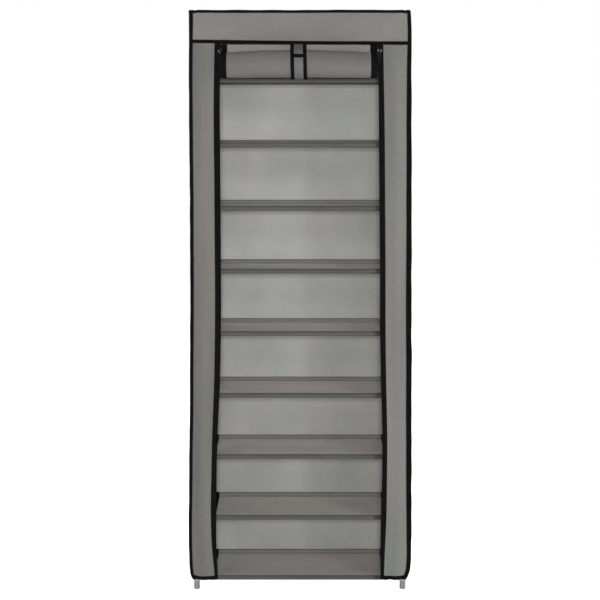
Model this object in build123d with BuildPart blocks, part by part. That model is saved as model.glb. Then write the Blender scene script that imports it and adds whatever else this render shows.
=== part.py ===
from build123d import *
import math
import os

# A ten-tier shoe organizer: a frame of steel tubes pushed into plastic corner joints, cloth shelves
# sewn over the rails, and a cloth cover with two front flaps. The zipped door between the flaps is
# rolled up under the valance and held there by a strap.
#
# Millimetres. X runs from left to right, the open front faces -Y and Z is up. The origin is on the
# floor at the centre of the footprint, and the rolled door counts in the footprint.

# ---------------------------------------------------------------- driving dimensions

# Frame
height = 1600.0
tiers = 10
bottom_rail_z = 32.5
top_rail_drop = 15.9  # from the top of the cover down to the middle of the top rails
post_span_x = 576.0
post_span_y = 270.0
tube_od = 12.7
tube_wall = 0.6

# Plastic corner joints
hub_wall = 2.6
arm_wall = 1.9
hub_reach = 24.0  # from the middle of the rails to the mouth of an upright socket
arm_reach = 26.0
socket_depth = 15.0
tube_fit = 0.05  # radial, all tubes in their sockets
tube_end_gap = 0.5
joint_fillet = 2.0

# Feet
leg_od = 14.4
foot_wall = 1.5
foot_height = 8.0
foot_floor = 2.5
foot_fit = 0.05
foot_rounding = 2.0

# Shelves
shelf_end_gap = 15.0  # between a shelf's edge and the mouths of the rail sockets
shelf_cloth = 0.45
sleeve_clear = 0.1

# Cover
cover_cloth = 0.8
cover_gap = 2.0  # between the corner joints and the cover
hem_z = 31.0
valance_height = 88.0
layer_gap = 0.4  # between cloth layers that lie on each other
binding_width = 9.5
binding_cloth = 0.5

# Zips
flap_top_width = 84.8  # from the cover's side to the zip's middle line, at the slider
flap_bottom_width = 71.8
tape_width = 14.6
tape_cloth = 0.7
tape_seam = 5.0  # overlap of the tape on its flap
coil_width = 2.6
coil_thickness = 1.8
coil_offset = 1.0  # from the zip's middle line to its coil
slider_drop = 21.0  # from the valance to the middle of the slider
slider_length = 11.0
slider_plate = 1.0
slider_post = 1.5
slider_clear = 0.4
tape_slot = 1.5
bridge_width = 2.2
bridge_wall = 1.0
bridge_floor = 0.4  # between the plate and the pull's hole
pull_bar = 1.6
pull_clear = 0.5
pull_width = 7.0
pull_length = 26.0
pull_thickness = 1.4

# Rolled door
roll_od = 71.0
roll_clear = 1.0  # between the roll's ends and the sliders
door_tape_width = 17.0
door_cloth = 0.8
strip_height = 22.5  # cloth that hangs flat between the valance and the top of the roll
seam_gap = 3.0  # between the valance and what is sewn in under it

# Strap
strap_width = 44.0
strap_cloth = 0.8
strap_gap = 0.4
strap_pivot_gap = 0.6
strap_top_angle = 142.0  # where the closed strap ends, from straight back, over the top
strap_tail_angle = 190.0  # where the hanging strap ends under the closed one

# ---------------------------------------------------------------- worked out from them

tube_r = tube_od / 2
bore_r = tube_r + tube_fit
hub_r = bore_r + hub_wall
arm_r = bore_r + arm_wall
tier_pitch = (height - bottom_rail_z - top_rail_drop) / (tiers - 1)
hub_seat = hub_reach - socket_depth + tube_end_gap
arm_seat = arm_reach - socket_depth + tube_end_gap
shelf_width = post_span_x - 2 * (arm_reach + shelf_end_gap)

roll_r = roll_od / 2
roll_drop = roll_r + strip_height
strap_r1 = roll_r + strap_gap
strap_r2 = strap_r1 + strap_cloth + strap_gap
side_x = post_span_x / 2 + hub_r + cover_gap
cover_reach_y = post_span_y / 2 + hub_r + cover_gap
valance_reach_y = cover_reach_y + cover_cloth + layer_gap
roll_reach_y = valance_reach_y + roll_r
front_extent = roll_reach_y + strap_r2 + strap_cloth
rear_extent = cover_reach_y + cover_cloth + binding_cloth
mid_y = (front_extent - rear_extent) / 2

post_x = post_span_x / 2
front_y = mid_y - post_span_y / 2
rear_y = mid_y + post_span_y / 2
front_panel_y = mid_y - cover_reach_y
rear_panel_y = mid_y + cover_reach_y
valance_y = mid_y - valance_reach_y
outer_x = side_x + cover_cloth
zip_top_x = outer_x - flap_top_width
zip_bottom_x = outer_x - flap_bottom_width
panel_top_z = height - binding_cloth - cover_cloth
valance_z = panel_top_z - valance_height
roll_y = mid_y - roll_reach_y
roll_z = valance_z - roll_drop
slider_z = valance_z - slider_drop
tape_bottom_z = hem_z + binding_width
tape_top_z = valance_z - seam_gap
zip_slant = math.atan2(zip_bottom_x - zip_top_x, slider_z - tape_bottom_z)
zip_y = front_panel_y - cover_cloth - layer_gap - tape_cloth / 2

slider_width = 2 * (coil_offset + coil_width + slider_clear + slider_plate)
channel = coil_thickness + 2 * slider_clear
slider_depth = channel + 2 * slider_plate
roll_half_x = zip_top_x - slider_width / 2 - roll_clear
bridge_hole = pull_bar / 2 + pull_clear
pull_reach = slider_depth / 2 + bridge_floor + bridge_hole
slider_plane = Plane(
    origin=(zip_top_x, zip_y, slider_z),
    x_dir=(math.cos(zip_slant), 0, math.sin(zip_slant)),
    z_dir=(-math.sin(zip_slant), 0, math.cos(zip_slant)),
)

mid_plane = Plane.XZ.offset(-mid_y)
rear_right_corner = Plane(origin=(post_x, rear_y, 0))


def rail_z(tier):
    """Height of the middle of a tier's rails; tier 0 is the lowest."""
    return bottom_rail_z + tier * tier_pitch


def zip_x(z):
    """The zip's middle line on the right side, at a height."""
    return zip_top_x + (slider_z - z) * math.tan(zip_slant)


def save(part, name):
    """Label a finished piece and write it."""
    part.label = name
    export_step(part, f"parts/{name}.step")


def mirrored(piece):
    """The left-hand twin of a right-hand piece."""
    with BuildPart() as twin:
        mirror(piece, about=Plane.YZ)
    return twin.part


# ---------------------------------------------------------------- frame


def make_corner_joint(tier):
    """The rear right corner joint: arms to the left and to the front, and upright sockets."""
    top = tier == tiers - 1
    bottom = tier == 0
    with BuildPart(rear_right_corner.offset(rail_z(tier))) as joint:
        up = hub_r if top else hub_reach
        down = hub_r if bottom else hub_reach
        with Locations((0, 0, -down)):
            Cylinder(hub_r, up + down, align=(Align.CENTER, Align.CENTER, Align.MIN))
        for turn in ((0, -90, 0), (90, 0, 0)):
            Cylinder(arm_r, arm_reach, rotation=turn, align=(Align.CENTER, Align.CENTER, Align.MIN))
        saddles = joint.edges().filter_by(GeomType.CIRCLE, reverse=True).filter_by(GeomType.LINE, reverse=True)
        fillet(saddles, joint_fillet)
        if bottom:
            with Locations((0, 0, -rail_z(tier) + foot_floor)):
                Cylinder(leg_od / 2, rail_z(tier) - foot_floor, align=(Align.CENTER, Align.CENTER, Align.MIN))
        for turn in ((0, -90, 0), (90, 0, 0)):
            socket(arm_reach, turn)
        if not top:
            socket(hub_reach, (0, 0, 0))
        if not bottom:
            socket(hub_reach, (180, 0, 0))
    return joint.part


def socket(reach, turn):
    """Bore a tube's socket into the joint that is being built."""
    direction = Location((0, 0, 0), turn) * Location((0, 0, reach - socket_depth))
    with Locations(direction):
        Cylinder(bore_r, socket_depth, align=(Align.CENTER, Align.CENTER, Align.MIN), mode=Mode.SUBTRACT)


def at_four_corners(piece):
    """The rear right piece and its three mirror images, as separate solids."""
    with BuildPart() as group:
        add(piece)
        mirror(about=Plane.YZ)
        mirror(about=mid_plane)
    return group.part


def make_foot():
    """The rear right foot cap, a cup pushed onto the joint's leg."""
    foot_r = leg_od / 2 + foot_fit + foot_wall
    with BuildPart(rear_right_corner) as foot:
        Cylinder(foot_r, foot_height, align=(Align.CENTER, Align.CENTER, Align.MIN))
        fillet(foot.edges().group_by(Axis.Z)[0], foot_rounding)
        with Locations((0, 0, foot_floor)):
            Cylinder(
                leg_od / 2 + foot_fit,
                foot_height,
                align=(Align.CENTER, Align.CENTER, Align.MIN),
                mode=Mode.SUBTRACT,
            )
    return foot.part


def make_post(x, y):
    """The upright tubes of one post, one between each two tiers."""
    with BuildPart() as post:
        for tier in range(tiers - 1):
            with BuildSketch(Plane(origin=(x, y, rail_z(tier) + hub_seat))):
                Circle(tube_r)
                Circle(tube_r - tube_wall, mode=Mode.SUBTRACT)
            extrude(amount=tier_pitch - 2 * hub_seat)
    return post.part


def make_rails(tier):
    """A tier's front and rear rails and its two side rails."""
    long_rail = post_span_x - 2 * arm_seat
    side_rail = post_span_y - 2 * arm_seat
    with BuildPart() as rails:
        with BuildSketch(Plane.YZ.offset(-long_rail / 2)):
            with Locations((front_y, rail_z(tier)), (rear_y, rail_z(tier))):
                Circle(tube_r)
                Circle(tube_r - tube_wall, mode=Mode.SUBTRACT)
        extrude(amount=long_rail)
        with BuildSketch(Plane.XZ.offset(-mid_y - side_rail / 2)):
            with Locations((-post_x, rail_z(tier)), (post_x, rail_z(tier))):
                Circle(tube_r)
                Circle(tube_r - tube_wall, mode=Mode.SUBTRACT)
        extrude(amount=side_rail)
    return rails.part


def make_shelf(tier):
    """A cloth shelf: a sleeve round the front rail, a sheet, and a sleeve round the rear rail."""
    sleeve_r = tube_r + sleeve_clear
    outer_r = sleeve_r + shelf_cloth
    with BuildPart() as shelf:
        with BuildSketch(Plane.YZ.offset(-shelf_width / 2)):
            with Locations((front_y, rail_z(tier)), (rear_y, rail_z(tier))):
                Circle(outer_r)
            with Locations((mid_y, rail_z(tier) - outer_r)):
                Rectangle(post_span_y, shelf_cloth, align=(Align.CENTER, Align.MIN))
            with Locations((front_y, rail_z(tier)), (rear_y, rail_z(tier))):
                Circle(sleeve_r, mode=Mode.SUBTRACT)
        extrude(amount=shelf_width)
    return shelf.part


# ---------------------------------------------------------------- cover


def plate(low, high):
    """A flat rectangular sheet between two corners, added to the piece that is being built."""
    size = [b - a for a, b in zip(low, high)]
    with Locations(low):
        Box(*size, align=(Align.MIN, Align.MIN, Align.MIN))


def make_plate(low, high):
    """A piece that is one flat rectangular sheet."""
    with BuildPart() as sheet:
        plate(low, high)
    return sheet.part


def make_right_flap():
    """The right front flap: its inner edge follows the zip."""
    edge = tape_width - tape_seam
    with BuildPart() as flap:
        with BuildSketch(Plane.XZ.offset(-front_panel_y)):
            with BuildLine():
                Polyline(
                    (zip_x(hem_z) + edge, hem_z),
                    (outer_x, hem_z),
                    (outer_x, panel_top_z),
                    (zip_x(panel_top_z) + edge, panel_top_z),
                    close=True,
                )
            make_face()
        extrude(amount=cover_cloth)
    return flap.part


def make_right_zip_tape():
    """The flap's half of the right zip: a tape on the flap's front with a coil along its free edge."""
    with BuildPart() as tape:
        for near, far, thickness in (
            (coil_offset, tape_width, tape_cloth),
            (coil_offset, coil_offset + coil_width, coil_thickness),
        ):
            with BuildSketch(Plane.XZ.offset(-zip_y - thickness / 2)):
                with BuildLine():
                    Polyline(
                        (zip_x(tape_bottom_z) + near, tape_bottom_z),
                        (zip_x(tape_bottom_z) + far, tape_bottom_z),
                        (zip_x(tape_top_z) + far, tape_top_z),
                        (zip_x(tape_top_z) + near, tape_top_z),
                        close=True,
                    )
                make_face()
            extrude(amount=thickness)
    return tape.part


def make_side_binding(y_low, y_high):
    """The bindings down the left and right of the cover, at its front or its rear edge."""
    with BuildPart() as binding:
        plate((outer_x - binding_width, y_low, hem_z), (outer_x, y_high, valance_z - seam_gap))
        mirror(about=Plane.YZ)
    return binding.part


def make_valance_binding():
    """The binding round the valance: its hem, its ends and its top edge."""
    front = valance_y - cover_cloth - binding_cloth
    back = valance_y - cover_cloth
    with BuildPart() as binding:
        plate((-outer_x, front, valance_z), (outer_x, back, valance_z + binding_width))
        plate((-outer_x, front, height - binding_width), (outer_x, back, height))
        plate(
            (outer_x - binding_width, front, valance_z + binding_width),
            (outer_x, back, height - binding_width),
        )
        plate(
            (-outer_x, front, valance_z + binding_width),
            (binding_width - outer_x, back, height - binding_width),
        )
    return binding.part


def make_rear_binding():
    """The binding round the back of the cover: down both sides and along the top."""
    low = rear_panel_y + cover_cloth
    high = low + binding_cloth
    with BuildPart() as binding:
        plate((outer_x - binding_width, low, hem_z), (outer_x, high, height - binding_width))
        mirror(about=Plane.YZ)
        plate((-outer_x, low, height - binding_width), (outer_x, high, height))
    return binding.part


def make_hem_binding():
    """The binding along the lower edges of the flaps, the sides and the back."""
    top = hem_z + binding_width
    front = front_panel_y - cover_cloth
    with BuildPart() as binding:
        plate(
            (zip_x(hem_z) + tape_width - tape_seam, front - binding_cloth, hem_z),
            (outer_x - binding_width - layer_gap, front, top),
        )
        plate((outer_x, front_panel_y, hem_z), (outer_x + binding_cloth, rear_panel_y, top))
        mirror(about=Plane.YZ)
        plate(
            (binding_width + layer_gap - outer_x, rear_panel_y + cover_cloth, hem_z),
            (outer_x - binding_width - layer_gap, rear_panel_y + cover_cloth + binding_cloth, top),
        )
    return binding.part


# ---------------------------------------------------------------- rolled door and strap


def make_door(x_low, x_high):
    """A length of the rolled door, with the flat strip that it hangs from."""
    with BuildPart() as door:
        with BuildSketch(Plane.YZ.offset(x_low)):
            with Locations((roll_y, roll_z)):
                Circle(roll_r)
            with Locations((roll_y + roll_r, roll_z)):
                Rectangle(door_cloth, roll_drop - seam_gap, align=(Align.MAX, Align.MIN))
        extrude(amount=x_high - x_low)
    return door.part


def polar(radius, angle):
    """A point round the middle of the roll, in a Y-Z sketch; 0 degrees is straight back."""
    turn = math.radians(angle)
    return (roll_y + radius * math.cos(turn), roll_z + radius * math.sin(turn))


def draw_band(radius, start, end):
    """Draw the outline of a band of strap round the roll between two angles."""
    outer = radius + strap_cloth
    CenterArc((roll_y, roll_z), radius, start, end - start)
    Line(polar(radius, end), polar(outer, end))
    CenterArc((roll_y, roll_z), outer, end, start - end)
    Line(polar(outer, start), polar(radius, start))


def make_strap_front():
    """The end of the strap that closes up the front of the roll."""
    with BuildPart() as strap:
        with BuildSketch(Plane.YZ.offset(-strap_width / 2)):
            with BuildLine():
                draw_band(strap_r2, 270, strap_top_angle)
            make_face()
        extrude(amount=strap_width)
    return strap.part


def make_strap_back():
    """The part of the strap from the seam, down behind the roll, to under its middle."""
    pivot_share = math.degrees(strap_pivot_gap / strap_r2)
    with BuildPart() as strap:
        with BuildSketch(Plane.YZ.offset(-strap_width / 2)):
            with BuildLine():
                draw_band(strap_r1, 0, pivot_share - 90)
            make_face()
            with Locations((roll_y + strap_r1, roll_z)):
                Rectangle(strap_cloth, roll_drop - seam_gap, align=(Align.MIN, Align.MIN))
        extrude(amount=strap_width)
    return strap.part


def make_strap_upper():
    """The strap that hangs from the seam over the front of the roll, under the closed end."""
    start = (roll_y + roll_r - door_cloth - strap_gap, valance_z - seam_gap)
    away = (start[0] - roll_y, start[1] - roll_z)
    outer_r = strap_r1 + strap_cloth
    heading = math.degrees(math.atan2(away[1], away[0]))
    tangent = heading + math.degrees(math.acos(outer_r / math.hypot(*away)))
    with BuildPart() as strap:
        with BuildSketch(Plane.YZ.offset(-strap_width / 2)):
            with BuildLine():
                draw_band(strap_r1, tangent, strap_tail_angle)
            make_face()
            with BuildLine():
                inner = polar(strap_r1, tangent)
                outer = polar(outer_r, tangent)
                back = (start[0] + inner[0] - outer[0], start[1] + inner[1] - outer[1])
                Polyline(start, back, inner, outer, close=True)
            make_face()
        extrude(amount=strap_width)
    return strap.part


# ---------------------------------------------------------------- zip sliders and pulls


def make_right_slider():
    """Two plates held apart by a post between the coils, with a bridge for the pull in front."""
    with BuildPart(slider_plane) as slider:
        Box(slider_width, slider_depth, slider_length)
        fillet(slider.edges().filter_by(Axis.Y), slider_plate)
        Box(slider_width, channel, slider_length, mode=Mode.SUBTRACT)
        with Locations((0, 0, slider_length / 4)):
            Box(slider_post, channel, slider_length / 3)
        for side in (-1, 1):
            lip = (slider_width - slider_plate) / 2
            with Locations((side * lip, 0, 0)):
                Box(slider_plate, channel, slider_length - 2 * slider_plate)
                Box(slider_plate, tape_slot, slider_length, mode=Mode.SUBTRACT)
        with BuildSketch(slider_plane.rotated((0, -90, 0)).offset(-bridge_width / 2)):
            bridge_outline()
        extrude(amount=bridge_width)
    return slider.part


def bridge_outline():
    """The bridge's side view: a round-fronted loop with the pull's hole."""
    middle = (0, -pull_reach)
    outer_r = bridge_hole + bridge_wall
    with Locations(middle):
        Circle(outer_r)
    with Locations((0, -slider_depth / 2)):
        Rectangle(2 * outer_r, bridge_floor + bridge_hole, align=(Align.CENTER, Align.MAX))
    with Locations(middle):
        Circle(bridge_hole, mode=Mode.SUBTRACT)


def make_right_pull():
    """The pull tab: a bar through the bridge, two cheeks beside it and a flat tab that hangs down."""
    cheek = (pull_width - bridge_width) / 2 - pull_clear
    arm_length = 3 * bridge_hole + bridge_wall
    with BuildPart(slider_plane) as pull:
        with Locations((0, -pull_reach, 0)):
            Cylinder(pull_bar / 2, pull_width, rotation=(0, 90, 0))
            for side in (-1, 1):
                with Locations((side * (pull_width - cheek) / 2, 0, 0)):
                    Box(
                        cheek,
                        pull_thickness,
                        arm_length + pull_bar / 2,
                        align=(Align.CENTER, Align.CENTER, Align.MAX),
                    )
            with Locations((0, 0, -arm_length)):
                Box(pull_width, pull_thickness, pull_length, align=(Align.CENTER, Align.CENTER, Align.MAX))
    return pull.part


# ---------------------------------------------------------------- build and write

os.makedirs("parts", exist_ok=True)

save(at_four_corners(make_foot()), "feet")
for side, x in (("left", -post_x), ("right", post_x)):
    save(make_post(x, front_y), f"front_{side}_post")
    save(make_post(x, rear_y), f"rear_{side}_post")

for tier in range(tiers):
    number = f"{tier + 1:02d}"
    save(at_four_corners(make_corner_joint(tier)), f"corner_joints_{number}")
    save(make_rails(tier), f"rails_{number}")
    save(make_shelf(tier), f"shelf_{number}")

cover_low_y = front_panel_y - cover_cloth
cover_high_y = rear_panel_y + cover_cloth
save(make_plate((-outer_x, rear_panel_y, hem_z), (outer_x, cover_high_y, panel_top_z)), "cover_back")
right_panel = make_plate((side_x, front_panel_y, hem_z), (outer_x, rear_panel_y, panel_top_z))
save(right_panel, "cover_right_side")
save(mirrored(right_panel), "cover_left_side")
save(
    make_plate(
        (-outer_x, valance_y - cover_cloth, panel_top_z),
        (outer_x, cover_high_y, panel_top_z + cover_cloth),
    ),
    "cover_top",
)
save(
    make_plate((-outer_x, valance_y - cover_cloth, valance_z), (outer_x, valance_y, panel_top_z)),
    "valance",
)
right_flap = make_right_flap()
save(right_flap, "right_front_flap")
save(mirrored(right_flap), "left_front_flap")

save(make_side_binding(cover_low_y - binding_cloth, cover_low_y), "front_edge_binding")
save(make_rear_binding(), "rear_edge_binding")
save(make_valance_binding(), "valance_binding")
save(make_hem_binding(), "hem_binding")

right_tape = make_right_zip_tape()
save(right_tape, "right_zip_tape")
save(mirrored(right_tape), "left_zip_tape")
right_slider = make_right_slider()
save(right_slider, "right_zip_slider")
save(mirrored(right_slider), "left_zip_slider")
right_pull = make_right_pull()
save(right_pull, "right_zip_pull")
save(mirrored(right_pull), "left_zip_pull")

door_half_x = roll_half_x - door_tape_width
save(make_door(-door_half_x, door_half_x), "door_roll")
right_door_tape = make_door(door_half_x, roll_half_x)
save(right_door_tape, "right_door_zip_tape")
save(mirrored(right_door_tape), "left_door_zip_tape")
save(make_strap_back(), "strap_back")
save(make_strap_upper(), "strap_upper")
save(make_strap_front(), "strap_front")
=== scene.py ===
import math

import bpy
import numpy as np
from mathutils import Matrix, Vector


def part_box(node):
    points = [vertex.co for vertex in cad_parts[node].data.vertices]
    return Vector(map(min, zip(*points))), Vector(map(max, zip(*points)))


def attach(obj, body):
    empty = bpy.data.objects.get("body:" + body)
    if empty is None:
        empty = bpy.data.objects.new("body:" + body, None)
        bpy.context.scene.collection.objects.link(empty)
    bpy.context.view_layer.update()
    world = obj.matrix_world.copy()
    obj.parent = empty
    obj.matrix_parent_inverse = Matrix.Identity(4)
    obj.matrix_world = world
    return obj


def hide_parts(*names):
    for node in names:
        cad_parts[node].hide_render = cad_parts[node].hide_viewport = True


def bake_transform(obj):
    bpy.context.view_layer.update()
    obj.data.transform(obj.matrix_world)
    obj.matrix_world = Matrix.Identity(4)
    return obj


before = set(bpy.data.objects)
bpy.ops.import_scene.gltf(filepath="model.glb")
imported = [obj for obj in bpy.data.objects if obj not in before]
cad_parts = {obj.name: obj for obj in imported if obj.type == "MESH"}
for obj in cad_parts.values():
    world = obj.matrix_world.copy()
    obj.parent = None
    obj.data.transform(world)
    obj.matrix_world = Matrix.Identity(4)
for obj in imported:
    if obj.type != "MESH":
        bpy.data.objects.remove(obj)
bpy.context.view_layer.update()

# The looks of a ten-tier shoe organizer: a grey non-woven cover with black edge binding round a frame
# of steel tubes. Metres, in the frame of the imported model: the open front faces -Y, and Z is up.

MM = 0.001
TIERS = 10
CABINET, DOOR, STRAP_END = "cabinet", "door", "strap_end"
SIDE_NAME = {-1: "left", 1: "right"}
ALONG_X = (1.0, 0.0, 0.0)
ALONG_Y = (0.0, 1.0, 0.0)
COVER_THICKNESS = 0.5 * MM


# ---------------------------------------------------------------- places from the frame


def middle(node):
    """The middle of a CAD node's box."""
    low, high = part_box(node)
    return (low + high) / 2


rail_low, rail_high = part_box("rails_01")
tube_r = (rail_high.z - rail_low.z) / 2
front_y = rail_low.y + tube_r
rear_y = rail_high.y - tube_r
rail_z = [middle(f"rails_{k + 1:02d}").z for k in range(TIERS)]
shelf_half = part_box("shelf_01")[1].x
sleeve_r = (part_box("shelf_02")[1].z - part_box("shelf_02")[0].z) / 2
flap_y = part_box("right_front_flap")[0].y
back_y = middle("cover_back").y
valance_y = middle("valance").y
valance_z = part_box("valance")[0].z
hem_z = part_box("cover_back")[0].z
top_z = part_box("valance_binding")[1].z
roll_low, roll_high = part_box("door_roll")
roll_r = (roll_high.y - roll_low.y) / 2
roll_y = (roll_low.y + roll_high.y) / 2
roll_z = roll_low.z + roll_r
seam_z = roll_high.z
roll_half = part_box("right_door_zip_tape")[1].x


# ---------------------------------------------------------------- cloth maths


def through(points):
    """A smooth function through (height, value) points in millimetres, given from the bottom up."""
    z, x = np.array(points, float).T * MM
    slope = np.gradient(x, z)

    def at(height):
        q = np.clip(height, z[0], z[-1])
        i = np.clip(np.searchsorted(z, q) - 1, 0, len(z) - 2)
        span = z[i + 1] - z[i]
        t = (q - z[i]) / span
        ends = (1 + 2 * t) * (1 - t) ** 2 * x[i] + t * t * (3 - 2 * t) * x[i + 1]
        return ends + span * (t * (1 - t) ** 2 * slope[i] + t * t * (t - 1) * slope[i + 1])

    return at


def waves(u, v, seed, length_u, length_v, count=9):
    """Smooth irregular waves of about unit height, with these usual wavelengths along u and v."""
    random = np.random.default_rng(seed)
    total = np.zeros(np.broadcast(u, v).shape)
    for _ in range(count):
        ku, kv = 2 * math.pi * random.uniform(0.5, 1.6, 2) / (length_u, length_v)
        total = total + np.sin(ku * u + kv * v * random.choice((-1, 1)) + random.uniform(0, 6.3))
    return total / math.sqrt(count)


def ramp(x, start, end):
    """0 before start, 1 after end, smooth between."""
    t = np.clip((x - start) / (end - start), 0, 1)
    return t * t * (3 - 2 * t)


def hump(x, centre, width):
    """A smooth bump of height 1 round centre."""
    return np.exp(-(((x - centre) / width) ** 2))


def unit(vectors):
    return vectors / np.maximum(np.linalg.norm(vectors, axis=-1, keepdims=True), 1e-12)


def stack(x, y, z):
    """Points from coordinates that broadcast to one grid."""
    return np.stack(np.broadcast_arrays(x, y, z), axis=-1).astype(float)


# ---------------------------------------------------------------- meshes


def mesh_piece(name, points, faces, material, body, uv=None):
    """A smooth mesh in the row frame that rides on a body."""
    mesh = bpy.data.meshes.new(name)
    mesh.from_pydata(points.reshape(-1, 3).tolist(), [], faces)
    mesh.polygons.foreach_set("use_smooth", [True] * len(mesh.polygons))
    if uv is not None:
        layer = mesh.uv_layers.new(name="cloth")
        corner = np.zeros(len(mesh.loops), np.int32)
        mesh.loops.foreach_get("vertex_index", corner)
        layer.data.foreach_set("uv", uv.reshape(-1, 2)[corner].astype(np.float32).ravel())
    mesh.materials.append(material)
    piece = bpy.data.objects.new(name, mesh)
    bpy.context.scene.collection.objects.link(piece)
    if body:
        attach(piece, body)
    return piece


def grid_faces(rows, columns, wrap=False):
    """Quads over a grid of points; wrap joins the last column to the first."""
    across = columns if wrap else columns - 1
    i, j = np.meshgrid(np.arange(rows - 1), np.arange(across), indexing="ij")
    k = (j + 1) % columns
    quads = np.stack((i * columns + j, (i + 1) * columns + j, (i + 1) * columns + k, i * columns + k), -1)
    return quads.reshape(-1, 4).tolist()


def grid_uv(points):
    """Distances along the rows and the columns of a grid, in metres."""
    down = np.linalg.norm(np.diff(points, axis=0), axis=-1)
    across = np.linalg.norm(np.diff(points, axis=1), axis=-1)
    v = np.vstack((np.zeros((1, points.shape[1])), np.cumsum(down, axis=0)))
    u = np.hstack((np.zeros((points.shape[0], 1)), np.cumsum(across, axis=1)))
    return np.stack((u, v), axis=-1)


def cloth(name, points, material, body, thickness, replaces=(), other_face=None):
    """A sheet of cloth through a grid of points, with its thickness to both sides. other_face is the
    material of its second face, if that differs."""
    piece = mesh_piece(name, points, grid_faces(*points.shape[:2]), material, body, grid_uv(points))
    solid = piece.modifiers.new("thickness", "SOLIDIFY")
    solid.thickness = thickness
    solid.offset = 0
    if other_face:
        piece.data.materials.append(other_face)
        solid.material_offset = 1
    if replaces:
        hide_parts(*replaces)
    return piece


def sweep(name, path, across, through_dir, section, material, body, replaces=()):
    """A closed section carried along a path. section holds (across, through) offsets. It and the two
    directions are the same for the whole path, or given for each of its points."""
    section = np.broadcast_to(section, (len(path),) + np.shape(section)[-2:])
    across = np.broadcast_to(across, path.shape)[:, None]
    through_dir = np.broadcast_to(through_dir, path.shape)[:, None]
    points = path[:, None] + section[..., :1] * across + section[..., 1:] * through_dir
    rows, columns = points.shape[:2]
    faces = grid_faces(rows, columns, wrap=True)
    faces.append(list(range(columns)))
    faces.append(list(range((rows - 1) * columns, rows * columns))[::-1])
    piece = mesh_piece(name, points, faces, material, body, grid_uv(points))
    if replaces:
        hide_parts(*replaces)
    return piece


def along(path, spacing):
    """Where even distances along a path fall, counted in its points, with fractions between them."""
    distance = np.concatenate(([0], np.cumsum(np.linalg.norm(np.diff(path, axis=0), axis=1))))
    at = np.arange(spacing / 2, distance[-1], spacing)
    return np.interp(at, distance, np.arange(len(path)))


def sample(values, share):
    """Rows of an array at fractional places."""
    low = np.clip(share.astype(int), 0, len(values) - 2)
    t = (share - low)[:, None]
    return values[low] * (1 - t) + values[low + 1] * t


# Each kind of bead: the distance from one to the next, and its half-sizes along its row, across it and
# through it.
BINDING_STITCH = 3.4 * MM, (1.35 * MM, 0.28 * MM, 0.22 * MM)
TAPE_STITCH = 3.0 * MM, (1.2 * MM, 0.25 * MM, 0.2 * MM)
SHELF_STITCH = 3.6 * MM, (1.45 * MM, 0.3 * MM, 0.22 * MM)
FLAP_COIL = 1.5 * MM, (0.62 * MM, 1.7 * MM, 0.95 * MM)
DOOR_COIL = 1.5 * MM, (0.62 * MM, 1.7 * MM, 0.75 * MM)


def beads(name, path, across, bead, material, body):
    """Small stretched beads along a path, such as stitches or the coils of a zip."""
    spacing, size = bead
    across = np.broadcast_to(across, path.shape)
    share = along(path, spacing)
    centre = sample(path, share)
    forward = unit(sample(np.gradient(path, axis=0), share))
    side = unit(sample(across, share))
    out = np.cross(forward, side)
    outline = [(-1, 0, 0)]
    for step in (-0.55, 0.55):
        for turn in range(5):
            angle = 2 * math.pi * turn / 5
            outline.append((step, math.cos(angle), math.sin(angle)))
    outline.append((1, 0, 0))
    shape = np.array(outline) * np.array(size)
    points = (
        centre[:, None]
        + shape[None, :, :1] * forward[:, None]
        + shape[None, :, 1:2] * side[:, None]
        + shape[None, :, 2:] * out[:, None]
    )
    one = [(0, 1 + (k + 1) % 5, 1 + k) for k in range(5)]
    one += [(1 + k, 1 + (k + 1) % 5, 6 + (k + 1) % 5, 6 + k) for k in range(5)]
    one += [(11, 6 + k, 6 + (k + 1) % 5) for k in range(5)]
    corners = len(outline)
    faces = [tuple(corners * i + c for c in face) for i in range(len(centre)) for face in one]
    return mesh_piece(name, points, faces, material, body)


# ---------------------------------------------------------------- materials


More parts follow.
